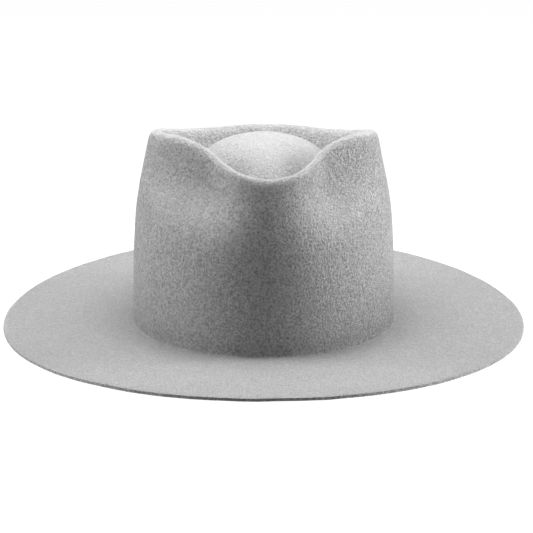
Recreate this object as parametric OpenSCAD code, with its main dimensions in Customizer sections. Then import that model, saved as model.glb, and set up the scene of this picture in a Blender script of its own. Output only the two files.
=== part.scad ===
// Wide-brim felt hat with a teardrop crown and a pinched front.
// Frame: Z up, the hat lies on its brim at Z 0, the front faces -Y, the wearer's left is +X.
// Angles run round the oval from the front (0) by +X (90) to the back (180).

/* [Crown] */
// Outside width of the crown at its foot
crown_w = 175; // [165:1:185]
// Outside length of the crown at its foot, front to back
crown_l = 204; // [194:1:214]
// Height of the rim crest at its two peaks
rim_h_peak = 134; // [128:0.5:136]
// Height of the rim crest at the front centre
rim_h_front = 115.5; // [112:0.5:119]
// Height of the rim crest at the back
rim_h_back = 117.5; // [113:0.5:120]
// Angle from the front centre to each peak of the rim
peak_at = 63; // [58:1:68]
// How far the wall leans in at the rim, at the sides
lean_x = 10.5; // [9:0.5:12]
// How far the wall leans in at the rim, at the front and back
lean_y = 15.5; // [13:0.5:17]
// Depth of each front pinch
pinch_depth = 18.5; // [14:0.5:19]
// Angle from the front centre to the middle of each pinch
pinch_at = 39; // [36:1:42]
// Height of the bottom of the crease that rings the top
crease_h = 98; // [96:0.5:100]
// Height of the mound inside the crease
mound_h = 126; // [120:0.5:128]

/* [Brim] */
// Width of the brim, from the foot of the crown to the cut edge
brim_w = 87; // [70:1:100]
// Thickness of the felt
felt_t = 2; // [1.8:0.1:2.2]
// How far the brim's front and back stand above its sides, as half of the difference
brim_saddle = 2.8; // [1:0.1:4]

/* [Sweatband] */
// Height of the leather band
band_h = 34; // [32:1:36]
// Thickness of the leather
band_t = 1; // [0.8:0.1:1.2]
// Diameter of the reed in the band's lower edge
reed_d = 1.8; // [1.4:0.1:2]
// Number of stitches in each row round the band
stitches = 96; // [60:12:120]

/* [Trim] */
// Width of the care label
label_w = 18; // [14:1:20]
// Length of the part of the care label that hangs free
label_l = 23; // [16:1:24]
// Width of the ribbon in the bow at the back
bow_ribbon = 5; // [4:0.5:6]

/* [Hidden] */

foot_a = crown_w / 2;            // half axes of the crown's foot, outside
foot_b = crown_l / 2;
seat_wave = 0.9;                 // half of the rise of the foot from the sides to the ends
seat_h = felt_t + brim_saddle - 1.4; // mean height of the brim's top face at the foot
shoulder_drop = 7;               // from the rim crest down to where the wall ends
back_at = 152;                   // the rim has fallen to its back height at this angle
askew = 3;                       // degrees that the dips and pinches turn towards +X, as hand shaping leaves them
top_forward = 4;                 // the top of the crown lies this far ahead of its foot
pinch_ahead = 20;                // degrees over which a pinch fades out towards the front
pinch_behind = 30;               // and towards the side
mound_y = 3;                     // the mound's top lies this far behind the middle

lining_t = 0.3;
lining_gap = 0.5;                // between felt and lining
lining_low = 30;                 // the lining's lower edge, tucked behind the sweatband
seam_a = 50;                     // half axes and height of the seam round the lining's tip
seam_b = 62;
seam_z = crease_h - 7;
tip_rise = 2;
piping_d = 1.6;

band_out = 3.5;                  // from the felt's outer face in to the sweatband's outer face
band_in = band_out + band_t;
band_low = 6.2;
band_top = band_low + band_h;
band_slit = 0.5;                 // between the leather's two ends, at the back
tape_t = 0.35;
tape_h = 9;
reed_z = band_low - tape_t - reed_d / 2;
thread_d = 0.4;

label_t = 0.4;
label_at = 162;                  // angle of the care label
label_set = 0.95;                // from the leather in to the label's outer face, at mid width
hem_h = 3.6;                     // the label's sewn end
hinge_z = band_top - hem_h;
tab_at = 196;                    // angle of the size tab
tab_w = 13;
tab_h = 10.5;
tab_t = 0.35;

SIDES = 72;                      // steps round the felt and the lining
STEP = 360 / SIDES;
$fn = 96;

// ---- the crown's shape ----

// Angle from the middle of the front dip, 0 to 180
function turn(p) =
    let (q = p - askew * cos(p))
    abs(q > 180 ? q - 360 : q);
function ease(x) = let (c = min(max(x, 0), 1)) c * c * (3 - 2 * c);
// 1 in the middle of a pinch, 0 away from it
function pinch(p) =
    let (off = turn(p) - pinch_at)
    exp(-pow(off / (off < 0 ? pinch_ahead : pinch_behind), 2));
// The rim climbs from the front to its peaks and falls slowly to the back
function rim_z(p) =
    let (
        climb = 1 - ease(turn(p) / peak_at),
        fall = ease((turn(p) - peak_at) / (back_at - peak_at))
    )
    rim_h_peak - (rim_h_peak - rim_h_front) * climb - (rim_h_peak - rim_h_back) * fall;
function foot_z(p) = seat_h + seat_wave * cos(2 * p);
function edge_z(p) = felt_t + brim_saddle * (1 + cos(2 * p));

// Share of the full lean and of the pinch at height share h of the wall
function lean(h) = pow(h, 3);
function pull(h) = ease((h - 0.6) / 0.33) * (1 - 0.24 * ease((h - 0.93) / 0.07));

// A row of the net is [half axis x, half axis y, centre y, z] at one angle
function brim_row(out, p) =
    let (share = pow(out / brim_w, 1.4))
    [foot_a + out, foot_b + out, 0, foot_z(p) + (edge_z(p) - foot_z(p)) * share];
function wall_row(h, deeper, z, p) =
    let (dent = pinch_depth * pull(h) * pinch(p) + deeper, l = lean(h))
    [foot_a - lean_x * l - dent, foot_b - lean_y * l - dent, -top_forward * l, z];
function wall_z(h, p) = foot_z(p) + h * (rim_z(p) - shoulder_drop - foot_z(p));
// deeper: how far inside the wall's end; down: share of the crease's depth below the crest
function rim_row(deeper, rise, down, p) =
    wall_row(1, deeper, rim_z(p) + rise - down * (rim_z(p) - crease_h), p);
function mound_row(share, p) =
    let (
        foot = rim_row(22.5, 1.5, 1, p),
        undent = pinch_depth * pull(1) * pinch(p) * (1 - share),
        y = mound_y + (foot[2] - mound_y) * share,
        z = mound_h - (mound_h - foot[3]) * pow(share, 3)
    )
    [(foot[0] + undent) * share, (foot[1] + undent) * share, y, z];

// Control rows of the felt's outer face, from the cut edge in to the middle of the mound
function felt_net(p) = concat(
    [for (out = [brim_w, 66, 44, 24, 8, 1.2]) brim_row(out, p)],
    [for (up = [1.2, 6]) wall_row(0, 0, foot_z(p) + up, p)],
    [for (h = [0.17, 0.32, 0.46, 0.59, 0.71, 0.81, 0.9, 1]) wall_row(h, 0, wall_z(h, p), p)],
    [rim_row(1.2, -1.5, 0, p), rim_row(5.5, 1.6, 0, p), rim_row(10, -2.5, 0, p)],
    [rim_row(12.6, 0, 0.42, p), rim_row(14.6, 0, 0.8, p)],
    [rim_row(18, -0.8, 1, p), rim_row(22.5, 1.5, 1, p)],
    [for (share = [0.78, 0.52, 0.26, 0]) mound_row(share, p)]
);

// Control rows of the lining's outer face, from its lower edge up and in to the seam
function lining_net(p) =
    let (
        gap = felt_t + lining_gap,
        share = function (z) (z - foot_z(p)) / (wall_z(1, p) - foot_z(p))
    )
    concat(
        [for (row = [[lining_low, -0.3], [38, -0.3], [46, -0.3], [57, 0.5], [69, 2.2], [79, 3.5]])
            wall_row(share(row[0]), gap + row[1], row[0], p)],
        [wall_row(share(84), gap + 7, seam_z - 4, p), wall_row(share(84), gap + 15, seam_z - 0.4, p)],
        [[seam_a, seam_b, 0, seam_z]]
    );

// ---- surfaces from a net ----

// Uniform cubic B-spline through a net. A net that closes at its middle goes on past it, mirrored.
function blend(t) =
    let (a = t * t, b = t * t * t)
    [pow(1 - t, 3), 3 * b - 6 * a + 4, 3 * (t + a - b) + 1, b] / 6;
function row_at(net, k, closes) =
    let (n = len(net))
    k < 0 ? 2 * net[0] - net[1]
    : k < n ? net[k]
    : closes ? [-net[n - 2][0], -net[n - 2][1], net[n - 2][2], net[n - 2][3]]
    : 2 * net[n - 1] - net[n - 2];
function on_net(net, v, closes) =
    let (i = min(floor(v), len(net) - 2))
    blend(v - i) * [for (k = [i - 1 : i + 2]) row_at(net, k, closes)];
function place(row, p) = [row[0] * sin(p), row[2] - row[1] * cos(p), row[3]];

// grid[j][i]: step j round the oval, sample i along the profile
function felt_grid(samples) = [
    for (j = [0 : SIDES - 1])
        let (p = j * STEP, net = felt_net(p))
        [for (v = samples) place(on_net(net, v, true), p)]
];
function lining_grid(samples) = [
    for (j = [0 : SIDES - 1])
        let (p = j * STEP, net = lining_net(p))
        [for (v = samples) place(on_net(net, v, false), p)]
];

function normal_at(grid, j, i) =
    let (
        n = len(grid),
        last = len(grid[0]) - 1,
        round_it = grid[(j + 1) % n][i] - grid[(j + n - 1) % n][i],
        along = grid[j][min(i + 1, last)] - grid[j][max(i - 1, 0)],
        c = cross(round_it, along)
    )
    c / norm(c);
// The grid moved inwards by the sheet's thickness
function inner_grid(grid, thick) = [
    for (j = [0 : len(grid) - 1])
        [for (i = [0 : len(grid[0]) - 1]) grid[j][i] - thick * normal_at(grid, j, i)]
];

// A closed sheet between two grids. poles: the two middle points if it closes, else an empty list.
module sheet(outer, inner, poles) {
    n = len(outer);
    m = len(outer[0]);
    far = n * m;
    at = function (j, i) (j % n) * m + i;
    in = function (j, i) far + at(j, i);
    pole = 2 * n * m;
    points = concat([for (r = outer) each r], [for (r = inner) each r], poles);
    faces = concat(
        [for (j = [0 : n - 1], i = [0 : m - 2]) [at(j, i), at(j, i + 1), at(j + 1, i + 1), at(j + 1, i)]],
        [for (j = [0 : n - 1], i = [0 : m - 2]) [in(j, i), in(j + 1, i), in(j + 1, i + 1), in(j, i + 1)]],
        [for (j = [0 : n - 1]) [at(j, 0), at(j + 1, 0), in(j + 1, 0), in(j, 0)]],
        len(poles) == 0
        ? [for (j = [0 : n - 1]) [at(j, m - 1), in(j, m - 1), in(j + 1, m - 1), at(j + 1, m - 1)]]
        : concat(
            [for (j = [0 : n - 1]) [at(j, m - 1), pole, at(j + 1, m - 1)]],
            [for (j = [0 : n - 1]) [in(j, m - 1), in(j + 1, m - 1), pole + 1]]
        )
    );
    polyhedron(points = points, faces = faces, convexity = 6);
}

// ---- oval parts ----

// An upright oval ring whose outer face lies in from the felt's outer face
module oval_ring(outer_in, inner_in, z, h) {
    translate([0, 0, z])
        linear_extrude(height = h)
            difference() {
                scale([foot_a - outer_in, foot_b - outer_in]) circle(r = 1);
                scale([foot_a - inner_in, foot_b - inner_in]) circle(r = 1);
            }
}

// Puts its child on the oval that lies in from the felt's outer face, its X along the oval
module on_oval(inset, p, z) {
    a = foot_a - inset;
    b = foot_b - inset;
    translate([a * sin(p), -b * cos(p), z])
        rotate([0, 0, atan2(b * sin(p), a * cos(p))])
            children();
}

module stitch(length) {
    rotate([0, 90, 0])
        cylinder(h = length, d = thread_d, center = true, $fn = 16);
}

// ---- sub-parts ----

module felt_body() {
    brim_and_foot = concat([for (v = [0 : 4]) v], [for (v = [4.5 : 0.5 : 6.5]) v]);
    wall_and_rim = concat([for (v = [7 : 15]) v], [for (v = [15.5 : 0.5 : 22]) v]);
    samples = concat(brim_and_foot, wall_and_rim, [23, 24, 25]);
    outer = felt_grid(samples);
    top = on_net(felt_net(0), 26, true);
    middle = [0, top[2], top[3]];
    color([0.74, 0.74, 0.74])
        sheet(outer, inner_grid(outer, felt_t), [middle, middle - [0, 0, felt_t]]);
}

module sweatband() {
    color([0.62, 0.5, 0.38])
        difference() {
            oval_ring(band_out, band_in, band_low, band_h);
            translate([-band_slit / 2, 0, band_low - 1])
                cube([band_slit, foot_b, band_h + 2]);
        }
}

// Round cord that stiffens the band's lower edge
module sweatband_reed() {
    color([0.85, 0.85, 0.8])
        scale([(foot_a - band_out) / (foot_b - band_out), 1, 1])
            rotate_extrude($fn = 72)
                translate([foot_b - band_out - reed_d / 2 + 0.4, reed_z])
                    circle(d = reed_d, $fn = 12);
}

// Cloth tape folded under the reed, with one leg up behind the leather
module reed_tape() {
    near = band_out - 0.4 - tape_t - 0.1;
    low = reed_z - reed_d / 2 - 0.1 - tape_t;
    color([0.35, 0.35, 0.36])
        union() {
            oval_ring(near, near + tape_t, low, tape_h);
            oval_ring(near, near + reed_d + 0.2 + 2 * tape_t, low, tape_t);
            oval_ring(near + reed_d + 0.2 + tape_t, near + reed_d + 0.2 + 2 * tape_t, low, 1.8);
        }
}

// Stitches that hold the leather to the tape, seen on the leather's inner face
module reed_stitching() {
    color([0.8, 0.76, 0.68])
        for (k = [0 : stitches - 1])
            on_oval(band_in + thread_d / 2 + 0.05, (k + 0.5) * 360 / stitches, band_low + 3.2)
                stitch(3.9);
}

// Stitches that hold the tape to the felt, in the gap at the crown's foot
module seat_stitching() {
    color([0.7, 0.7, 0.7])
        for (k = [0 : stitches - 1])
            on_oval(felt_t + 0.36, k * 360 / stitches, band_low + 4.6)
                rotate([0, 14, 0])
                    stitch(3);
}

// Backing tape behind the joint of the leather's ends
module rear_joint_tape() {
    color([0.35, 0.35, 0.36])
        on_oval(band_out - 0.6, 180, band_low + 9.5)
            translate([-5, 0, 0])
                cube([10, 0.3, 13]);
}

// Zigzag over the joint
module rear_joint_stitching() {
    rows = 14;
    rise = (band_h - 10) / rows;
    color([0.8, 0.76, 0.68])
        for (k = [0 : rows - 1])
            on_oval(band_in + thread_d / 2 + 0.1, 180, band_low + 8 + k * rise)
                rotate([0, k % 2 == 0 ? 28 : -28, 0])
                    stitch(3.2);
}

module stadium(length, wide) {
    for (x = [wide / 2, length - wide / 2])
        translate([x, 0])
            circle(d = wide);
    translate([wide / 2, -wide / 2])
        square([length - wide, wide]);
}

// Two loops of ribbon, lying on the leather at the back
module sweatband_bow() {
    loop_l = 13;
    loop_t = 3;
    ply = 0.4;
    color([0.2, 0.2, 0.21])
        on_oval(band_in + 1.1 + loop_t / 2, 180, band_low + 3.8)
            for (side = [0, 1])
                mirror([side, 0, 0])
                    translate([1.9, 0, 0])
                        rotate([0, 0, 5])
                            linear_extrude(height = bow_ribbon)
                                difference() {
                                    stadium(loop_l, loop_t);
                                    translate([ply, 0])
                                        stadium(loop_l - 2 * ply, loop_t - 2 * ply);
                                }
}

// The ribbon's knot, wrapped round the middle of the bow
module bow_wrap() {
    color([0.2, 0.2, 0.21])
        on_oval(band_in + 2.6, 180, band_low + 3.4)
            translate([-1.7, -1.7, 0])
                cube([3.4, 3.4, bow_ribbon + 0.8]);
}

module lining_sides() {
    outer = lining_grid([0, 1, 2, 3, 4, 5, 5.5, 6, 6.5, 7, 7.5, 8]);
    color([0.9, 0.9, 0.88])
        sheet(outer, inner_grid(outer, lining_t), []);
}

// Oval of satin across the top, slightly domed
module lining_tip() {
    reach = seam_b - 0.4;
    dome_r = (reach * reach + tip_rise * tip_rise) / (2 * tip_rise);
    color([0.9, 0.9, 0.88])
        translate([0, 0, seam_z - piping_d - lining_t])
            scale([seam_a / seam_b, 1, 1])
                rotate_extrude($fn = 72)
                    intersection() {
                        translate([0, tip_rise - dome_r])
                            difference() {
                                circle(r = dome_r + lining_t, $fn = 360);
                                circle(r = dome_r, $fn = 360);
                            }
                        square([reach, tip_rise + 2]);
                    }
}

// Covered cord in the seam between tip and sides
module lining_piping() {
    color([0.3, 0.3, 0.31])
        scale([seam_a / seam_b, 1, 1])
            rotate_extrude($fn = 72)
                translate([seam_b + 0.5, seam_z - lining_t - 0.25 - piping_d / 2])
                    circle(d = piping_d, $fn = 10);
}

module label_plate(low, high) {
    on_oval(band_in + label_set, label_at, low)
        translate([-label_w / 2, 0, 0])
            cube([label_w, label_t, high - low]);
}

module care_label_sewn_end() {
    color([0.95, 0.95, 0.93])
        label_plate(hinge_z + 0.4, band_top - 0.2);
}

// The free part, which swings about hinge_z
module care_label() {
    color([0.95, 0.95, 0.93])
        label_plate(hinge_z - label_l, hinge_z - 0.3);
}

module care_label_stitching() {
    count = 5;
    color([0.7, 0.7, 0.7])
        for (k = [0 : count - 1])
            on_oval(band_in + label_set, label_at, hinge_z + 1.8)
                translate([(k - (count - 1) / 2) * 3.4, label_t + thread_d / 2 + 0.05, 0])
                    stitch(2.2);
}

module size_tab() {
    color([0.95, 0.95, 0.93])
        on_oval(band_in + 0.45, tab_at, band_top - 6 - tab_h)
            translate([-tab_w / 2, 0, 0])
                cube([tab_w, tab_t, tab_h]);
}

module size_tab_stitching() {
    color([0.7, 0.7, 0.7])
        for (z = [1.2, tab_h - 1.2], x = [-4.4 : 2.2 : 4.4])
            on_oval(band_in + 0.45, tab_at, band_top - 6 - tab_h + z)
                translate([x, tab_t + thread_d / 2 + 0.05, 0])
                    stitch(1.5);
}

felt_body();
sweatband();
sweatband_reed();
reed_tape();
reed_stitching();
seat_stitching();
rear_joint_tape();
rear_joint_stitching();
sweatband_bow();
bow_wrap();
lining_sides();
lining_tip();
lining_piping();
care_label_sewn_end();
care_label();
care_label_stitching();
size_tab();
size_tab_stitching();
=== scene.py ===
import math

import bpy
import numpy as np
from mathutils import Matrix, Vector, noise


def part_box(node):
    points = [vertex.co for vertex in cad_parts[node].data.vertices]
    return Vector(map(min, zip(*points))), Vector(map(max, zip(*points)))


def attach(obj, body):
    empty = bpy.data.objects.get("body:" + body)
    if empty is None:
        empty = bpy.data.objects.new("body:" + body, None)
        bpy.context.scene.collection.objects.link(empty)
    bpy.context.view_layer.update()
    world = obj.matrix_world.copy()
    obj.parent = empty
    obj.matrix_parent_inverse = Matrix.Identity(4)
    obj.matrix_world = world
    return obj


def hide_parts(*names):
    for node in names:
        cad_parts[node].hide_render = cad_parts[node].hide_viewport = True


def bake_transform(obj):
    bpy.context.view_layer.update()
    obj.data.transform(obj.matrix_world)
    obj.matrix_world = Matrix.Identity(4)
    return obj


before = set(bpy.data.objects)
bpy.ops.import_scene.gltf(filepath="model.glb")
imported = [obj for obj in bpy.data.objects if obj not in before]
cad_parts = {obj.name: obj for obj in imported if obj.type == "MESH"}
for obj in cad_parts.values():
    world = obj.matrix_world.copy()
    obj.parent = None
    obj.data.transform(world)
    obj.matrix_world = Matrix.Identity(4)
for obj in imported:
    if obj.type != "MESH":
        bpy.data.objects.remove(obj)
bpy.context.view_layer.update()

# Shapes are worked out in millimetres, in the CAD model's frame, and turned into metres in make_mesh().
# Angles run round the oval in degrees from the front (0) by +X (90) to the back (180).
MM = 0.001

# ---- sizes, as the CAD model has them ----

FELT = 2.0
FOOT_A = 87.5                      # half axes of the crown's foot, outside
FOOT_B = 102.0
BRIM = 87.0
SADDLE = 2.8
SEAT_WAVE = 0.9
SEAT_H = FELT + SADDLE - 1.4
RIM_PEAK, RIM_FRONT, RIM_BACK = 134.0, 115.5, 117.5
PEAK_AT, BACK_AT, ASKEW = 63.0, 152.0, 3.0
SHOULDER_DROP, TOP_FORWARD = 7.0, 4.0
LEAN_X, LEAN_Y = 10.5, 15.5
PINCH_DEPTH, PINCH_AT, PINCH_AHEAD, PINCH_BEHIND = 18.5, 39.0, 20.0, 30.0
CREASE_H, MOUND_H, MOUND_Y = 98.0, 126.0, 3.0

LINING = 0.3
LINING_GAP = 0.5
LINING_LOW = 30.0
SEAM_A, SEAM_B, SEAM_Z = 50.0, 62.0, CREASE_H - 7
TIP_RISE = 2.0
PIPING_D = 1.6

BAND_OUT = 3.5                     # from the felt's outer face in to the leather's outer face
BAND = 1.0
BAND_IN = BAND_OUT + BAND
BAND_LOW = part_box("sweatband")[0].z / MM
BAND_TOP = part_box("sweatband")[1].z / MM
TAPE = 0.35
TAPE_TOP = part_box("reed_tape")[1].z / MM
REED_D = 1.8
REED_IN = BAND_OUT + 0.5           # inset of the reed's middle
REED_Z = BAND_LOW - TAPE - REED_D / 2
THREAD_D = 0.4

LABEL_AT, LABEL_W, LABEL_T = 162.0, 18.0, 0.4
LABEL_IN = BAND_IN + 0.95
LABEL_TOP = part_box("care_label_sewn_end")[1].z / MM
LABEL_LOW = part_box("care_label")[0].z / MM
TAB_AT, TAB_W, TAB_T = 196.0, 13.0, 0.35
TAB_IN = BAND_IN + 0.45
TAB_LOW, TAB_TOP = (corner.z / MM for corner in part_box("size_tab"))
BOW_LOW, BOW_TOP = (corner.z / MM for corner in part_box("sweatband_bow"))


# ---- the crown's and the lining's nets, as in the CAD model ----

def ease(x):
    c = np.clip(x, 0, 1)
    return c * c * (3 - 2 * c)


def turn(p):
    """Angle from the middle of the front dip, 0 to 180."""
    q = p - ASKEW * cos(p)
    return np.abs(np.where(q > 180, q - 360, q))


def cos(p):
    return np.cos(np.radians(p))


def sin(p):
    return np.sin(np.radians(p))


def pinch(p):
    off = turn(p) - PINCH_AT
    return np.exp(-(off / np.where(off < 0, PINCH_AHEAD, PINCH_BEHIND)) ** 2)


def rim_z(p):
    climb = 1 - ease(turn(p) / PEAK_AT)
    fall = ease((turn(p) - PEAK_AT) / (BACK_AT - PEAK_AT))
    return RIM_PEAK - (RIM_PEAK - RIM_FRONT) * climb - (RIM_PEAK - RIM_BACK) * fall


def foot_z(p):
    return SEAT_H + SEAT_WAVE * cos(2 * p)


def edge_z(p):
    return FELT + SADDLE * (1 + cos(2 * p))


def pull(h):
    return ease((h - 0.6) / 0.33) * (1 - 0.24 * ease((h - 0.93) / 0.07))


def row(a, b, middle_y, z, p):
    """One control row: half axis x, half axis y, middle y and z at each angle."""
    return np.stack([part + np.zeros_like(p) for part in (a, b, middle_y, z)], axis=-1)


def brim_row(out, p):
    share = (out / BRIM) ** 1.4
    return row(FOOT_A + out, FOOT_B + out, 0, foot_z(p) + (edge_z(p) - foot_z(p)) * share, p)


def wall_row(h, deeper, z, p):
    dent = PINCH_DEPTH * pull(h) * pinch(p) + deeper
    lean = h ** 3
    return row(FOOT_A - LEAN_X * lean - dent, FOOT_B - LEAN_Y * lean - dent, -TOP_FORWARD * lean, z, p)


def wall_z(h, p):
    return foot_z(p) + h * (rim_z(p) - SHOULDER_DROP - foot_z(p))


def rim_row(deeper, rise, down, p):
    return wall_row(1.0, deeper, rim_z(p) + rise - down * (rim_z(p) - CREASE_H), p)


def mound_row(share, p):
    foot = rim_row(22.5, 1.5, 1, p)
    undent = PINCH_DEPTH * pull(1.0) * pinch(p) * (1 - share)
    y = MOUND_Y + (foot[:, 2] - MOUND_Y) * share
    z = MOUND_H - (MOUND_H - foot[:, 3]) * share ** 3
    return row((foot[:, 0] + undent) * share, (foot[:, 1] + undent) * share, y, z, p)


def felt_net(p):
    rows = [brim_row(out, p) for out in (BRIM, 66, 44, 24, 8, 1.2)]
    rows += [wall_row(0.0, 0, foot_z(p) + up, p) for up in (1.2, 6)]
    rows += [wall_row(h, 0, wall_z(h, p), p) for h in (0.17, 0.32, 0.46, 0.59, 0.71, 0.81, 0.9, 1.0)]
    rows += [rim_row(1.2, -1.5, 0, p), rim_row(5.5, 1.6, 0, p), rim_row(10, -2.5, 0, p)]
    rows += [rim_row(12.6, 0, 0.42, p), rim_row(14.6, 0, 0.8, p)]
    rows += [rim_row(18, -0.8, 1, p), rim_row(22.5, 1.5, 1, p)]
    rows += [mound_row(share, p) for share in (0.78, 0.52, 0.26, 0)]
    return np.array(rows)


def lining_net(p):
    gap = FELT + LINING_GAP

    def share(z):
        return (z - foot_z(p)) / (wall_z(1, p) - foot_z(p))

    low_rows = ((LINING_LOW, -0.3), (38, -0.3), (46, -0.3), (57, 0.5), (69, 2.2), (79, 3.5))
    rows = [wall_row(share(z), gap + more, z, p) for z, more in low_rows]
    rows.append(wall_row(share(84), gap + 7, SEAM_Z - 4, p))
    rows.append(wall_row(share(84), gap + 15, SEAM_Z - 0.4, p))
    rows.append(row(SEAM_A, SEAM_B, 0, SEAM_Z, p))
    return np.array(rows)


def on_net(net, v, closes):
    """Points of the uniform cubic B-spline through a net, at the places v along it."""
    past = net[-2] * [-1, -1, 1, 1] if closes else 2 * net[-1] - net[-2]
    full = np.concatenate([[2 * net[0] - net[1]], net, [past]])
    made = []
    for place in v:
        i = min(int(place), len(net) - 2)
        t = place - i
        weights = np.array([(1 - t) ** 3, 3 * t**3 - 6 * t**2 + 4, 3 * (t + t**2 - t**3) + 1, t**3]) / 6
        made.append(np.tensordot(weights, full[i:i + 4], axes=1))
    return np.array(made)


def in_space(rows, p):
    """Rows of (half axis x, half axis y, middle y, z) as points."""
    return np.stack([rows[..., 0] * sin(p), rows[..., 2] - rows[..., 1] * cos(p), rows[..., 3]], axis=-1)


def normals(grid):
    """Outward normals of a grid of rings whose rows run inwards or upwards."""
    round_it = np.roll(grid, -1, axis=1) - np.roll(grid, 1, axis=1)
    made = np.cross(round_it, np.gradient(grid, axis=0))
    return made / np.linalg.norm(made, axis=-1, keepdims=True)


# ---- meshes ----

def angles(count, start=0.0):
    return start + np.arange(count) * 360.0 / count


def smooth_noise(points, size, seed):
    """Smooth noise of about -1 to 1 at each point, with lumps of about that size in millimetres."""
    flat = points.reshape(-1, 3) / size + seed
    return np.array([noise.noise(Vector(q)) for q in flat]).reshape(points.shape[:-1])


def make_mesh(name, points, faces, weave=None):
    """A smooth mesh from points in millimetres. weave gives each face corner's place on the flat cloth."""
    mesh = bpy.data.meshes.new(name)
    mesh.from_pydata((np.asarray(points) * MM).tolist(), [], faces)
    mesh.shade_smooth()
    if weave is not None:
        layer = mesh.attributes.new("weave", "FLOAT_VECTOR", "CORNER")
        layer.data.foreach_set("vector", (np.asarray(weave, dtype=np.float32) * MM).ravel())
    made = bpy.data.objects.new(name, mesh)
    bpy.context.scene.collection.objects.link(made)
    return made


def swept(name, rings, poles=None):
    """A closed mesh from rings of points: a ring with a closed section, or a shell with two poles."""
    m, n = rings.shape[:2]
    length = np.linalg.norm(np.roll(rings, -1, axis=1) - rings, axis=-1).sum(axis=1).mean()
    steps = np.linalg.norm(np.diff(rings, axis=0), axis=-1).mean(axis=1)
    across = np.concatenate([[0], np.cumsum(steps), [steps.sum() + steps.mean()]])
    points = rings.reshape(-1, 3).tolist()
    faces, weave = [], []
    for i in range(m if poles is None else m - 1):
        for j in range(n):
            corners = ((i, j), (i, j + 1), (i + 1, j + 1), (i + 1, j))
            faces.append([(a % m) * n + b % n for a, b in corners])
            weave += [(length * b / n, across[a], 0) for a, b in corners]
    if poles is not None:
        points += [list(pole) for pole in poles]
        for j in range(n):
            faces.append([m * n, j + (1 - n if j + 1 == n else 1), j])
            faces.append([m * n + 1, (m - 1) * n + j, (m - 1) * n + (j + 1) % n])
            weave += [(length * j / n, across[0], 0)] * 3 + [(length * j / n, across[m], 0)] * 3
    return make_mesh(name, points, faces, weave)


def oval_tube(name, section, count=360, wave=None):
    """A ring with one section all round. section holds (inset from the felt's outer face, z) points."""
    p = angles(count, start=180.0)
    rings = []
    for inset, z in section:
        more = 0 if wave is None else wave(p, z)
        a, b = FOOT_A - inset - more, FOOT_B - inset - more
        rings.append(np.stack([a * sin(p), -b * cos(p), z + np.zeros_like(p)], axis=-1))
    return swept(name, np.array(rings))


def on_oval(inset, p):
    """Point at that angle on the oval, and the directions along the oval and in towards its middle."""
    a, b = FOOT_A - inset, FOOT_B - inset
    along = np.array([a * cos(p), b * sin(p), 0])
    along /= np.linalg.norm(along)
    return np.array([a * sin(p), -b * cos(p), 0]), along, np.array([-along[1], along[0], 0])


def tube(points, faces, path, thick, sides=8):
    """Adds a round thread that follows a path, tapered to its ends."""
    path = np.asarray(path, dtype=float)
    forward = np.gradient(path, axis=0)
    forward /= np.linalg.norm(forward, axis=1, keepdims=True)
    first = len(points)
    last_ring = len(path) - 1
    for i, (middle, ahead) in enumerate(zip(path, forward)):
        side = np.cross(ahead, [0, 0, 1] if abs(ahead[2]) < 0.9 else [1, 0, 0])
        side /= np.linalg.norm(side)
        up = np.cross(side, ahead)
        radius = thick / 2 * (0.55 if i in (0, last_ring) else 1)
        for k in range(sides):
            turned = 2 * math.pi * k / sides
            points.append(middle + radius * (side * math.cos(turned) + up * math.sin(turned)))
    for i in range(last_ring):
        for k in range(sides):
            a, b = first + i * sides + k, first + i * sides + (k + 1) % sides
            faces.append([a, b, b + sides, a + sides])
    faces.append([first + k for k in reversed(range(sides))])
    faces.append([first + last_ring * sides + k for k in range(sides)])


def stitches(name, places, length, thick, bow):
    """Short stitches that bow up out of the cloth. places holds (middle, direction, outward direction)."""
    points, faces = [], []
    for middle, along, out in places:
        steps = np.linspace(-0.5, 0.5, 7)
        path = [middle + along * length * s + out * bow * (math.cos(math.pi * s) - 1) for s in steps]
        tube(points, faces, path, thick)
    return make_mesh(name, points, faces)


def plate(name, inset, p, width, thick, z_low, z_high, curl, columns=25, rows=31):
    """A thin piece of cloth on the leather. curl lifts a point by its shares across and down the cloth."""
    start, along, inward = on_oval(inset, p)
    us, vs = np.linspace(-0.5, 0.5, columns), np.linspace(0, 1, rows)
    points, faces, weave = [], [], []
    for depth in (0, thick):
        for v in vs:
            for u in us:
                lift = depth + curl(u, v)
                z = z_high + (z_low - z_high) * v
                points.append(start + along * u * width + inward * lift + np.array([0, 0, z]))
    per_face = columns * rows

    def add(corners):
        faces.append([c[0] * per_face + c[1] * columns + c[2] for c in corners])
        weave.extend((us[c[2]] * width, vs[c[1]] * (z_high - z_low), 0) for c in corners)

    for i in range(rows - 1):
        for j in range(columns - 1):
            add([(0, i, j), (0, i, j + 1), (0, i + 1, j + 1), (0, i + 1, j)])
            add([(1, i, j), (1, i + 1, j), (1, i + 1, j + 1), (1, i, j + 1)])
    for i in range(rows - 1):
        add([(0, i, 0), (0, i + 1, 0), (1, i + 1, 0), (1, i, 0)])
        add([(0, i + 1, columns - 1), (0, i, columns - 1), (1, i, columns - 1), (1, i + 1, columns - 1)])
    for j in range(columns - 1):
        add([(0, 0, j + 1), (0, 0, j), (1, 0, j), (1, 0, j + 1)])
        add([(0, rows - 1, j), (0, rows - 1, j + 1), (1, rows - 1, j + 1), (1, rows - 1, j)])
    return make_mesh(name, points, faces, weave)


# ---- pieces ----

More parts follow.
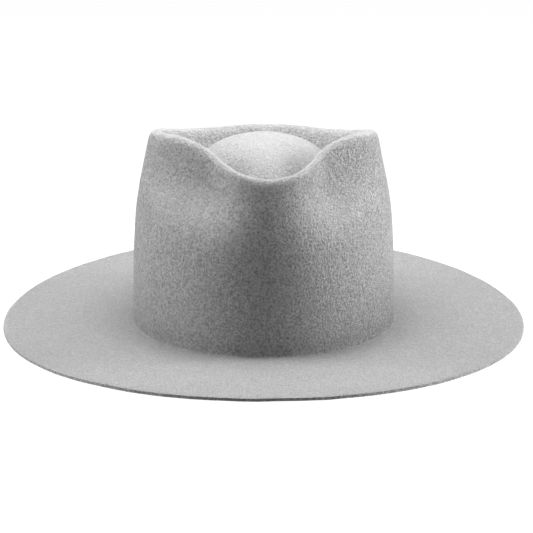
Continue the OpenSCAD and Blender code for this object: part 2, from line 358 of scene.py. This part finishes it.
def make_felt():
    """Crown and brim, uneven by a few tenths of a millimetre, as hand-blocked felt is."""
    p = angles(360)
    net = felt_net(p)
    last = len(net) - 1
    samples = np.concatenate([[0, 0.02, 0.05], np.arange(0.16, last - 0.05, 0.2)])
    outer = in_space(on_net(net, samples, True), p)
    out = normals(outer)
    free = ease(np.abs(outer[..., 2] - 26) / 22)[..., None]
    uneven = 0.28 * smooth_noise(outer, 26, 3.1) + 0.12 * smooth_noise(outer, 8, 9.4)
    outer = outer + out * uneven[..., None] * free
    inner = outer - out * FELT

    # The cut edge bulges a little between its two corners.
    radius = 0.5
    away = np.cross(out[0], np.roll(outer[0], -1, axis=0) - np.roll(outer[0], 1, axis=0))
    away /= -np.linalg.norm(away, axis=-1, keepdims=True)
    middle = (outer[0] + inner[0]) / 2
    edge = []
    for angle in np.linspace(80, -80, 9):
        bulge, height = math.cos(math.radians(angle)) ** 0.5, math.sin(math.radians(angle))
        height = math.copysign(abs(height) ** 0.6, height)
        edge.append(middle + away * radius * (bulge - 1) + out[0] * FELT / 2 * height)
    rings = np.concatenate([outer[:2:-1], edge, inner[3:]])
    top = on_net(felt_net(angles(4)), [last], True)[0, 0]
    pole = np.array([0, top[2], top[3]])
    felt = swept("felt_hat", rings, (pole, pole - [0, 0, FELT]))
    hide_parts("felt_body")
    return felt


def rounded_section(inset_out, inset_in, z_low, z_high, steps, groove=None):
    """Section of a flat band with half-round edges. groove(z) sinks its inner face."""
    radius = (inset_in - inset_out) / 2
    middle = (inset_in + inset_out) / 2
    turn_in = [(middle - radius * math.cos(t), z_high - radius + radius * math.sin(t))
               for t in np.linspace(0, math.pi, 7)]
    turn_out = [(middle + radius * math.cos(t), z_low + radius - radius * math.sin(t))
                for t in np.linspace(0, math.pi, 7)]
    down = np.linspace(z_high - radius, z_low + radius, steps)[1:-1]
    inside = [(inset_in - (groove(z) if groove else 0), z) for z in down]
    up = [(inset_out, z) for z in down[::-4]]
    return turn_in + inside + turn_out + up


def make_sweatband():
    """Leather strip with a tooled line under its top edge. Its ends meet at the back."""
    line_z = BAND_TOP - 3.4

    def groove(z):
        return 0.16 * math.exp(-(((z - line_z) / 0.35) ** 2))

    def wave(p, z):
        high = ease((z - BAND_LOW - 8) / (BAND_TOP - BAND_LOW - 8))
        return high * (0.22 + 0.16 * sin(7 * p + 40) + 0.08 * sin(17 * p))

    section = rounded_section(BAND_OUT, BAND_IN, BAND_LOW, BAND_TOP, 90, groove)
    band = oval_tube("sweatband_leather", section, 400, wave)
    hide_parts("sweatband")
    return band


def make_reed():
    section = [(REED_IN + REED_D / 2 * math.cos(t), REED_Z + REED_D / 2 * math.sin(t))
               for t in np.linspace(0, 2 * math.pi, 17)[:-1]]
    reed = oval_tube("sweatband_reed_round", section, 240)
    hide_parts("sweatband_reed")
    return reed


def make_tape():
    """Tape folded round the reed: up the inside a little, and up behind the leather."""
    radius = REED_D / 2 + 0.1 + TAPE / 2
    bend = [(REED_IN + radius * math.cos(t), REED_Z + radius * math.sin(t))
            for t in np.linspace(0.35, -math.pi, 17)]
    leg = [(REED_IN - radius, z) for z in np.linspace(REED_Z, TAPE_TOP, 9)[1:]]
    line = np.array(bend + leg)
    forward = np.gradient(line, axis=0)
    forward /= np.linalg.norm(forward, axis=1, keepdims=True)
    side = np.stack([-forward[:, 1], forward[:, 0]], axis=1) * TAPE / 2
    section = np.concatenate([line + side, (line - side)[::-1]])
    tape = oval_tube("reed_tape_fold", section, 360)
    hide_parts("reed_tape")
    return tape


def make_rear_tape():
    def curl(u, v):
        return 0.16 * (2 * u) ** 2

    low, high = (corner.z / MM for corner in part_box("rear_joint_tape"))
    tape = plate("rear_joint_cloth", BAND_OUT - 0.6, 180.0, 10, 0.3, low, high, curl)
    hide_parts("rear_joint_tape")
    return tape


def make_reed_stitching():
    low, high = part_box("reed_stitching")
    z = (low.z + high.z) / 2 / MM
    count = 144
    places = []
    for k in range(count):
        start, along, inward = on_oval(BAND_IN + THREAD_D / 2, (k + 0.5) * 360 / count)
        places.append((start + np.array([0, 0, z]), along, inward))
    made = stitches("reed_stitches", places, 3.1, THREAD_D, 0.34)
    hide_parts("reed_stitching")
    return made


def make_rear_stitching():
    """One thread that zigzags over the joint in the leather."""
    low, high = (corner.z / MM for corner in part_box("rear_joint_stitching"))
    start, along, inward = on_oval(BAND_IN + THREAD_D / 2, 180.0)
    turns = 16
    path = []
    for k in range(turns * 6 + 1):
        swing = 2 * abs((k / 6) % 2 - 1) - 1
        dip = 0.22 * abs(swing) ** 6
        z = low + (high - low) * k / (turns * 6)
        path.append(start + along * 1.4 * swing - inward * dip + np.array([0, 0, z]))
    points, faces = [], []
    tube(points, faces, path, THREAD_D)
    made = make_mesh("rear_joint_zigzag", points, faces)
    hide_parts("rear_joint_stitching")
    return made


def ribbon_ring(points, faces, weave, line, width, thick, z_of):
    """Adds a closed loop of upright ribbon. line holds the loop's (point, outward direction) pairs."""
    first = len(points)
    count = len(line)
    corners = ((-0.5, 0.36), (-0.36, 0.5), (0.36, 0.5), (0.5, 0.36),
               (0.5, -0.36), (0.36, -0.5), (-0.36, -0.5), (-0.5, -0.36))
    sides = len(corners)
    for place, out in line:
        middle_z = z_of(place)
        for depth, height in corners:
            spread = math.copysign(min(abs(height) * width, width / 2), height)
            points.append(place + out * depth * thick + np.array([0, 0, middle_z + spread]))
    step = np.linalg.norm(line[1][0] - line[0][0])
    for i in range(count):
        for k in range(sides):
            after, beside = (i + 1) % count, (k + 1) % sides
            faces.append([first + i * sides + k, first + i * sides + beside,
                          first + after * sides + beside, first + after * sides + k])
            heights = [corners[c][1] * width for c in (k, beside, beside, k)]
            weave.extend((step * a, h, 0) for a, h in zip((i, i, i + 1, i + 1), heights))


def loop_out(t, reach, depth):
    """Outward direction of the bow's loop at t, for a loop of that length and half depth."""
    out = np.array([-math.cos(t) * depth, math.sin(t) * reach / 2])
    return out / np.linalg.norm(out)


def make_bow():
    """Two loops of ribbed ribbon that droop a little at their ends."""
    start, along, inward = on_oval(BAND_IN + 2.6, 180.0)
    middle_z = (BOW_LOW + BOW_TOP) / 2
    width = BOW_TOP - BOW_LOW - 0.6
    ply, reach, half_depth = 0.4, 12.4, 1.15
    points, faces, weave = [], [], []
    for side in (-1, 1):
        line = []
        for t in np.linspace(0, 2 * math.pi, 49)[:-1]:
            x = 1.9 + reach * (1 - math.cos(t)) / 2
            y = half_depth * math.sin(t) * (0.35 + 0.65 * math.sin(t / 2) ** 2)
            bent = 0.012 * x * x
            out = loop_out(t, reach, half_depth)
            place = start + side * along * x + inward * (y + bent)
            line.append((place, side * along * out[0] + inward * out[1]))
        ribbon_ring(points, faces, weave, line, width, ply,
                    lambda q: middle_z - 0.0035 * np.dot(q - start, along) ** 2)
    bow = make_mesh("sweatband_bow_loops", points, faces, weave)
    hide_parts("sweatband_bow")
    return bow


def make_bow_wrap():
    """The ribbon round the middle of the bow, pulled in at its waist."""
    start, along, inward = on_oval(BAND_IN + 2.6, 180.0)
    low, high = (corner.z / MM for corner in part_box("bow_wrap"))
    rings = []
    for x in np.linspace(-1.7, 1.7, 13):
        ring = []
        for t in np.linspace(0, 2 * math.pi, 33)[:-1]:
            c, s = math.cos(t), math.sin(t)
            flat = 0.9 + 0.1 * (x / 1.7) ** 2
            y = 1.55 * flat * math.copysign(abs(c) ** 0.6, c)
            z = (low + high) / 2 + (high - low) / 2 * flat * math.copysign(abs(s) ** 0.45, s)
            ring.append(start + along * x + inward * y + np.array([0, 0, z]))
        rings.append(ring)
    rings = np.array(rings)
    poles = (rings[0].mean(axis=0), rings[-1].mean(axis=0))
    wrap = swept("sweatband_bow_wrap", rings, poles)
    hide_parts("bow_wrap")
    return wrap


def make_lining_sides():
    """Satin round the crown, gathered into the tip's seam, with slack folds in its lower half."""
    p = angles(480)
    net = lining_net(p)
    last = len(net) - 1
    v = np.linspace(0, last, 75)
    outer = in_space(on_net(net, v, False), p)
    out = normals(outer)
    share = (v / last)[:, None]
    gathers = sin(46 * p + 60 * sin(3 * p)) * (0.6 + 0.4 * sin(11 * p + 20))
    near_seam = ease((share - 0.42) / 0.4) * (1 - ease((share - 0.93) / 0.07))
    slack = ease(share / 0.35) * (1 - ease((share - 0.55) / 0.3))
    folds = np.minimum(smooth_noise(outer * [1, 1, 0.35], 11, 5.0), 0.15)
    moved = 0.75 * near_seam * (gathers - 0.6) + 1.3 * slack * (folds - 0.15)
    outer = outer + out * moved[..., None]
    inner = outer - normals(outer) * LINING
    lining = swept("lining_sides_satin", np.concatenate([outer, inner[::-1]]))
    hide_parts("lining_sides")
    return lining


def make_lining_tip():
    """Oval of satin over the head, with short pulls where the seam holds it."""
    p = angles(240)
    reach = SEAM_B - 0.4
    rings = []
    for share in np.linspace(0.03, 1, 36):
        pulls = sin(40 * p + 50 * sin(2 * p)) * (0.6 + 0.4 * sin(9 * p))
        z = SEAM_Z - PIPING_D + TIP_RISE * (1 - share**2) + 0.28 * pulls * ease((share - 0.6) / 0.3)
        z = z - 0.28 * ease((share - 0.6) / 0.3)
        a = (reach * SEAM_A / SEAM_B) * share
        rings.append(np.stack([a * sin(p), -reach * share * cos(p), z], axis=-1))
    upper = np.array(rings)[::-1]
    lower = (upper - [0, 0, LINING])[::-1]
    pole = np.array([0, 0, SEAM_Z - PIPING_D + TIP_RISE])
    both = np.concatenate([upper[::-1], lower[::-1]])
    tip = swept("lining_tip_satin", both, (pole, pole - [0, 0, LINING]))
    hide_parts("lining_tip")
    return tip


def make_piping():
    """Satin-covered cord in the seam."""
    p = angles(360, start=180.0)
    half_a, half_b = SEAM_A * (1 + 0.5 / SEAM_B), SEAM_B + 0.5
    z = SEAM_Z - LINING - 0.25 - PIPING_D / 2
    rings = []
    for t in np.linspace(0, 2 * math.pi, 17)[:-1]:
        out, up = PIPING_D / 2 * math.cos(t), PIPING_D / 2 * math.sin(t)
        ring = [(half_a + out) * sin(p), -(half_b + out) * cos(p), z + up + np.zeros_like(p)]
        rings.append(np.stack(ring, axis=-1))
    piping = swept("lining_piping_cord", np.array(rings))
    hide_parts("lining_piping")
    return piping


def make_care_label():
    """One piece of woven tape. Its sewn end stays on the leather and the rest curls a little away from it.
    """
    def curl(u, v):
        return 0.75 * ease((v - 0.3) / 0.7) * (1 + 1.2 * u) * 0.6 - 0.05

    label = plate("care_label_cloth", LABEL_IN, LABEL_AT, LABEL_W, LABEL_T, LABEL_LOW, LABEL_TOP, curl,
                  rows=45)
    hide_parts("care_label", "care_label_sewn_end")
    return label


def make_label_stitching():
    low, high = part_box("care_label_stitching")
    z = (low.z + high.z) / 2 / MM
    start, along, inward = on_oval(LABEL_IN, LABEL_AT)
    places = []
    for k in range(6):
        middle = start + along * (k - 2.5) * 2.8 + inward * (LABEL_T + THREAD_D / 2) + np.array([0, 0, z])
        places.append((middle, along, inward))
    made = stitches("care_label_stitches", places, 2.1, THREAD_D, 0.34)
    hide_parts("care_label_stitching")
    return made


def make_size_tab():
    def curl(u, v):
        return 0.1 * (2 * u) ** 2

    tab = plate("size_tab_cloth", TAB_IN, TAB_AT, TAB_W, TAB_T, TAB_LOW, TAB_TOP, curl)
    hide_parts("size_tab")
    return tab


def make_tab_stitching():
    start, along, inward = on_oval(TAB_IN, TAB_AT)
    places = []
    for z in (TAB_LOW + 1.2, TAB_TOP - 1.2):
        for x in np.linspace(-4.8, 4.8, 6):
            lift = TAB_T + THREAD_D / 2 + 0.1 * (2 * x / TAB_W) ** 2
            places.append((start + along * x + inward * lift + np.array([0, 0, z]), along, inward))
    made = stitches("size_tab_stitches", places, 1.5, THREAD_D, 0.3)
    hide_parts("size_tab_stitching")
    return made


# ---- materials ----

def node(tree, kind, inputs=None, **settings):
    """A shader node with its inputs linked or set."""
    made = tree.nodes.new(kind)
    for key, value in settings.items():
        setattr(made, key, value)
    for key, value in (inputs or {}).items():
        if isinstance(value, bpy.types.NodeSocket):
            tree.links.new(value, made.inputs[key])
        else:
            made.inputs[key].default_value = value
    return made


def maths(tree, operation, a, b=0.0, c=0.0):
    return node(tree, "ShaderNodeMath", {0: a, 1: b, 2: c}, operation=operation).outputs[0]


def material(name, roughness, specular, **sockets):
    made = bpy.data.materials.new(name)
    made.use_nodes = True
    shader = made.node_tree.nodes["Principled BSDF"]
    shader.inputs["Roughness"].default_value = roughness
    shader.inputs["Specular IOR Level"].default_value = specular
    for key, value in sockets.items():
        shader.inputs[key.replace("_", " ")].default_value = value
    return made, made.node_tree, shader


def speckle(tree, where, scale, detail=2.0, distortion=0.0, shift=0.0):
    """Noise from 0 to 1 with about that many lumps to the metre."""
    moved = node(tree, "ShaderNodeVectorMath", {0: where, 1: (shift, shift * 0.7, -shift)}, operation="ADD")
    inputs = {"Vector": moved.outputs[0], "Scale": scale, "Detail": detail, "Distortion": distortion}
    return node(tree, "ShaderNodeTexNoise", inputs).outputs["Fac"]


def fibres(tree, where, scale, width, shift):
    """Thin curly lines: the places where noise passes its middle value."""
    lumps = speckle(tree, where, scale, 1.0, 1.4, shift)
    off_middle = maths(tree, "ABSOLUTE", maths(tree, "SUBTRACT", lumps, 0.5))
    line = node(tree, "ShaderNodeMapRange", {"Value": off_middle, "From Min": 0.0, "From Max": width,
                                             "To Min": 1.0, "To Max": 0.0}, interpolation_type="SMOOTHSTEP")
    return line.outputs[0]


def ramp(tree, value, stops):
    """Colour ramp from (position, colour) stops."""
    made = node(tree, "ShaderNodeValToRGB", {"Fac": value})
    elements = made.color_ramp.elements
    while len(elements) < len(stops):
        elements.new(0.5)
    for element, (position, colour) in zip(elements, stops):
        element.position = position
        element.color = (*colour, 1)
    return made.outputs[0]


def bump(tree, height, strength, distance):
    inputs = {"Height": height, "Strength": strength, "Distance": distance}
    return node(tree, "ShaderNodeBump", inputs).outputs[0]


def brim_break_shade_mask(tree, where):
    """Mask for painted shade: 1 along the fold where the crown's foot turns out into the brim, 0 everywhere
    else.
    """
    across = (1 / (FOOT_A + 1.5) / MM, 1 / (FOOT_B + 1.5) / MM, 0)
    oval = node(tree, "ShaderNodeVectorMath", {0: where, 1: across}, operation="MULTIPLY").outputs[0]
    reach = node(tree, "ShaderNodeVectorMath", {0: oval}, operation="LENGTH").outputs["Value"]
    off = maths(tree, "ABSOLUTE", maths(tree, "SUBTRACT", reach, 1.0))
    near = node(tree, "ShaderNodeMapRange", {"Value": off, "From Min": 0.0, "From Max": 0.035,
                                             "To Min": 1.0, "To Max": 0.0}, interpolation_type="SMOOTHSTEP")
    z = node(tree, "ShaderNodeSeparateXYZ", {0: where}).outputs[2]
    low = node(tree, "ShaderNodeMapRange", {"Value": z, "From Min": 0.009, "From Max": 0.02,
                                            "To Min": 1.0, "To Max": 0.0}, interpolation_type="SMOOTHSTEP")
    return maths(tree, "MULTIPLY", near.outputs[0], low.outputs[0])


def felt_material():
    """Light grey wool felt: curly fibres over fine grain. The brim and the mound are pressed smoother.
    Painted shade darkens the fold at the crown's foot.
    """
    made, tree, shader = material("wool_felt", 0.95, 0.15, Sheen_Weight=0.22, Sheen_Roughness=0.45)
    where = node(tree, "ShaderNodeTexCoord").outputs["Object"]
    long_fibres = fibres(tree, where, 270, 0.09, 0.0)
    short_fibres = fibres(tree, where, 400, 0.11, 3.3)
    fine_fibres = fibres(tree, where, 850, 0.13, 7.9)
    grain = speckle(tree, where, 1500, 2.0, 0.0, 1.7)
    clumps = speckle(tree, where, 720, 1.0, 0.8, 4.4)
    mottle = speckle(tree, where, 45, 3.0, 0.4, 2.2)

    tufts = maths(tree, "MULTIPLY_ADD", long_fibres, 0.45, maths(tree, "MULTIPLY", short_fibres, 0.4))
    tufts = maths(tree, "MULTIPLY_ADD", fine_fibres, 0.25, tufts)
    tufts = maths(tree, "MULTIPLY_ADD", grain, 1.0, tufts)
    tufts = maths(tree, "MULTIPLY_ADD", clumps, 2.4, tufts)

    facing = node(tree, "ShaderNodeTexCoord").outputs["Normal"]
    level = maths(tree, "ABSOLUTE", node(tree, "ShaderNodeSeparateXYZ", {0: facing}).outputs[2])
    nap = node(tree, "ShaderNodeMapRange", {"Value": level, "From Min": 0.25, "From Max": 0.85,
                                            "To Min": 1.0, "To Max": 0.38}).outputs[0]
    usual_height = 2.1
    height = maths(tree, "MULTIPLY", maths(tree, "SUBTRACT", tufts, usual_height), nap)

    tone = maths(tree, "MULTIPLY_ADD", height, 0.85, maths(tree, "MULTIPLY_ADD", mottle, 0.1, 0.5))
    colour = ramp(tree, tone, [(0.1, (0.40, 0.40, 0.402)), (0.5, (0.61, 0.61, 0.612)),
                               (0.9, (0.82, 0.82, 0.818))])
    # Painted shade: the felt's colour is darkened along the brim break at the crown's foot, where shade
    # falls.
    crease_shade = maths(tree, "MULTIPLY", brim_break_shade_mask(tree, where), 0.15)
    crease_shade_colour = (0.25, 0.25, 0.252, 1)
    shaded = node(tree, "ShaderNodeMix", {0: crease_shade, 6: colour, 7: crease_shade_colour}, data_type="RGBA")
    tree.links.new(shaded.outputs[2], shader.inputs["Base Color"])
    tree.links.new(bump(tree, height, 1.0, 0.0012), shader.inputs["Normal"])
    return made


def leather_material():
    made, tree, shader = material("band_leather", 0.5, 0.4, Coat_Weight=0.08, Coat_Roughness=0.35)
    where = node(tree, "ShaderNodeTexCoord").outputs["Object"]
    cells = node(tree, "ShaderNodeTexVoronoi", {"Vector": where, "Scale": 900.0},
                 feature="DISTANCE_TO_EDGE")
    pebble = node(tree, "ShaderNodeMapRange", {"Value": cells.outputs["Distance"], "From Max": 0.18})
    fine = speckle(tree, where, 3000, 3.0)
    cloud = speckle(tree, where, 60, 4.0, 0.5)
    tone = maths(tree, "MULTIPLY_ADD", pebble.outputs[0], 0.25, maths(tree, "MULTIPLY", cloud, 0.75))
    colour = ramp(tree, tone, [(0.25, (0.155, 0.078, 0.036)), (0.55, (0.235, 0.125, 0.060)),
                               (0.8, (0.315, 0.180, 0.095))])
    tree.links.new(colour, shader.inputs["Base Color"])
    rough = node(tree, "ShaderNodeMapRange", {"Value": cloud, "To Min": 0.42, "To Max": 0.62})
    tree.links.new(rough.outputs[0], shader.inputs["Roughness"])
    height = maths(tree, "MULTIPLY_ADD", fine, 0.25, pebble.outputs[0])
    tree.links.new(bump(tree, height, 0.5, 0.00012), shader.inputs["Normal"])
    return made


def woven(name, dark, light, threads, depth, roughness, specular, ribbed=False, **sockets):
    """Plain or ribbed cloth on the mesh's own weave coordinates, with that many threads to the metre."""
    made, tree, shader = material(name, roughness, specular, **sockets)
    place = node(tree, "ShaderNodeAttribute", attribute_name="weave").outputs["Vector"]
    where = node(tree, "ShaderNodeTexCoord").outputs["Object"]
    parts = node(tree, "ShaderNodeSeparateXYZ", {0: place}).outputs
    warp = maths(tree, "SINE", maths(tree, "MULTIPLY", parts[0], threads * math.tau))
    weft = maths(tree, "SINE", maths(tree, "MULTIPLY", parts[1], threads * math.tau))
    weave = warp if ribbed else maths(tree, "MULTIPLY", warp, weft)
    weave = maths(tree, "MULTIPLY_ADD", weave, 0.5, 0.5)
    cloud = speckle(tree, where, 90, 3.0, 0.3)
    slub = speckle(tree, where, 1500, 2.0)
    tone = maths(tree, "MULTIPLY_ADD", weave, 0.35, maths(tree, "MULTIPLY", cloud, 0.65))
    colour = ramp(tree, tone, [(0.2, dark), (0.8, light)])
    tree.links.new(colour, shader.inputs["Base Color"])
    height = maths(tree, "MULTIPLY_ADD", slub, 0.3, weave)
    tree.links.new(bump(tree, height, 0.6, depth), shader.inputs["Normal"])
    return made


def thread_material(name, dark, light):
    """Twisted thread, with its twist as fine slanting ridges."""
    made, tree, shader = material(name, 0.7, 0.25, Sheen_Weight=0.2)
    where = node(tree, "ShaderNodeTexCoord").outputs["Object"]
    ridges = node(tree, "ShaderNodeTexWave", {"Vector": where, "Scale": 900.0, "Distortion": 1.5,
                                              "Detail": 1.0}, bands_direction="DIAGONAL").outputs["Fac"]
    tree.links.new(ramp(tree, ridges, [(0.1, dark), (0.9, light)]), shader.inputs["Base Color"])
    tree.links.new(bump(tree, ridges, 0.5, 0.00006), shader.inputs["Normal"])
    return made


def reed_material():
    made, tree, shader = material("reed_plastic", 0.42, 0.5)
    where = node(tree, "ShaderNodeTexCoord").outputs["Object"]
    cloud = speckle(tree, where, 120, 3.0)
    colour = ramp(tree, cloud, [(0.3, (0.66, 0.65, 0.58)), (0.7, (0.75, 0.74, 0.68))])
    tree.links.new(colour, shader.inputs["Base Color"])
    tree.links.new(bump(tree, speckle(tree, where, 900), 0.2, 0.00005), shader.inputs["Normal"])
    return made


def finish_piece(piece, finish, body="hat"):
    piece.data.materials.clear()
    piece.data.materials.append(finish)
    if body:
        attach(piece, body)


# ---- stage ----

def make_floor():
    """Plain pale floor that glows, so it stays white. It is clear from below and lets light through."""
    mesh = bpy.data.meshes.new("floor")
    half = 6.0
    corners = [(-half, -half, 0), (half, -half, 0), (half, half, 0), (-half, half, 0)]
    mesh.from_pydata(corners, [], [(0, 1, 2, 3)])
    floor = bpy.data.objects.new("floor", mesh)
    bpy.context.scene.collection.objects.link(floor)
    floor.location.z = -0.0005
    made, tree, shader = material("floor_white", 1.0, 0.0)
    shader.inputs["Base Color"].default_value = (0.35, 0.35, 0.35, 1)
    shader.inputs["Emission Color"].default_value = (1, 1, 1, 1)
    shader.inputs["Emission Strength"].default_value = 0.9
    below = node(tree, "ShaderNodeNewGeometry").outputs["Backfacing"]
    clear = node(tree, "ShaderNodeBsdfTransparent").outputs[0]
    mixed = node(tree, "ShaderNodeMixShader", {0: below, 1: shader.outputs[0], 2: clear})
    tree.links.new(mixed.outputs[0], tree.nodes["Material Output"].inputs["Surface"])
    mesh.materials.append(made)
    floor.visible_diffuse = False
    floor.visible_glossy = False
    floor.visible_shadow = False


def make_light(name, place, aim, width, height, power):
    data = bpy.data.lights.new(name, "AREA")
    data.shape = "RECTANGLE"
    data.size, data.size_y = width, height
    data.energy = power
    lamp = bpy.data.objects.new(name, data)
    lamp.location = place
    lamp.rotation_mode = "QUATERNION"
    lamp.rotation_quaternion = (Vector(aim) - Vector(place)).to_track_quat("-Z", "Y")
    lamp.visible_camera = False
    bpy.context.scene.collection.objects.link(lamp)


def make_world(ambient):
    """Even white surroundings: dim as a light, white where the camera looks past the floor."""
    world = bpy.data.worlds.new("studio")
    bpy.context.scene.world = world
    world.use_nodes = True
    tree = world.node_tree
    background = tree.nodes["Background"]
    background.inputs["Color"].default_value = (1, 1, 1, 1)
    seen = node(tree, "ShaderNodeLightPath").outputs["Is Camera Ray"]
    strength = node(tree, "ShaderNodeMapRange", {"Value": seen, "To Min": ambient, "To Max": 1.1})
    tree.links.new(strength.outputs[0], background.inputs["Strength"])


def make_camera():
    """In front of the hat and 14 degrees above it, 1.4 m away, with a long lens."""
    elevation = math.radians(14.25)
    distance, lens = 1.4, 141.5
    look_at = Vector((0, 0, 0.0648))
    back = Vector((0, -math.cos(elevation), math.sin(elevation)))
    up = Vector((0, math.sin(elevation), math.cos(elevation)))
    data = bpy.data.cameras.new("camera")
    data.sensor_width = 36.0
    data.lens = lens
    camera = bpy.data.objects.new("camera", data)
    camera.location = look_at + back * distance
    aim = look_at - up * 0.0275 + Vector((0.0019, 0, 0))
    camera.rotation_mode = "QUATERNION"
    camera.rotation_quaternion = (aim - camera.location).to_track_quat("-Z", "Y")
    bpy.context.scene.collection.objects.link(camera)
    bpy.context.scene.camera = camera


make_camera()
make_world(ambient=0.2)
make_floor()
make_light("top_softbox", (0, 0, 0.42), (0, 0, 0.05), 0.26, 0.26, 1.5)
crown_middle = (0, 0, 0.07)
make_light("left_softbox", (-1.2, 0.1, 0.3), crown_middle, 0.5, 0.5, 8.8)
make_light("right_softbox", (1.2, 0.1, 0.3), crown_middle, 0.5, 0.5, 9.3)
# What a white table throws back up. The brim keeps it off the foot of the crown.
make_light("left_bounce", (-1.1, 0.1, -0.3), crown_middle, 0.5, 0.5, 5.8)
make_light("right_bounce", (1.1, 0.1, -0.3), crown_middle, 0.5, 0.5, 11.5)
make_light("under_bounce", (0, -0.1, -0.9), (0, 0, 0.05), 0.9, 0.9, 6.0)
bpy.context.scene.view_settings.view_transform = "Standard"

satin = woven("lining_satin", (0.70, 0.70, 0.69), (0.80, 0.80, 0.79), 3200, 0.00003, 0.32, 0.5,
              Sheen_Weight=0.3, Anisotropic=0.4)
piping_cloth = woven("piping_satin", (0.030, 0.030, 0.032), (0.055, 0.055, 0.058), 2600, 0.00005, 0.35, 0.5,
                     Sheen_Weight=0.2)
tape_cloth = woven("cotton_tape", (0.045, 0.045, 0.048), (0.085, 0.085, 0.088), 1600, 0.00012, 0.85, 0.2)
ribbon_cloth = woven("ribbed_ribbon", (0.010, 0.010, 0.011), (0.022, 0.022, 0.024), 1300, 0.00015, 0.5, 0.4,
                     ribbed=True, Sheen_Weight=0.3)
label_cloth = woven("label_tape", (0.74, 0.74, 0.72), (0.84, 0.84, 0.82), 2000, 0.00008, 0.6, 0.3,
                    Sheen_Weight=0.15)
leather = leather_material()
leather_thread = thread_material("leather_thread", (0.36, 0.30, 0.20), (0.56, 0.48, 0.35))
grey_thread = thread_material("grey_thread", (0.28, 0.28, 0.28), (0.42, 0.42, 0.42))

finish_piece(make_felt(), felt_material())
finish_piece(make_sweatband(), leather)
finish_piece(make_reed(), reed_material())
finish_piece(make_tape(), tape_cloth)
finish_piece(make_rear_tape(), tape_cloth)
finish_piece(make_reed_stitching(), leather_thread)
finish_piece(make_rear_stitching(), leather_thread)
finish_piece(make_bow(), ribbon_cloth)
finish_piece(make_bow_wrap(), ribbon_cloth)
finish_piece(make_lining_sides(), satin)
finish_piece(make_piping(), piping_cloth)
finish_piece(make_lining_tip(), satin)
finish_piece(make_label_stitching(), grey_thread)
finish_piece(make_size_tab(), label_cloth)
finish_piece(make_tab_stitching(), grey_thread)

label = make_care_label()
finish_piece(label, label_cloth, body=None)
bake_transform(label)

# The stitches between tape and felt are hidden, so their CAD solid is kept.
seat_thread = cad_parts["seat_stitching"]
seat_thread.data.materials.clear()
seat_thread.data.materials.append(grey_thread)
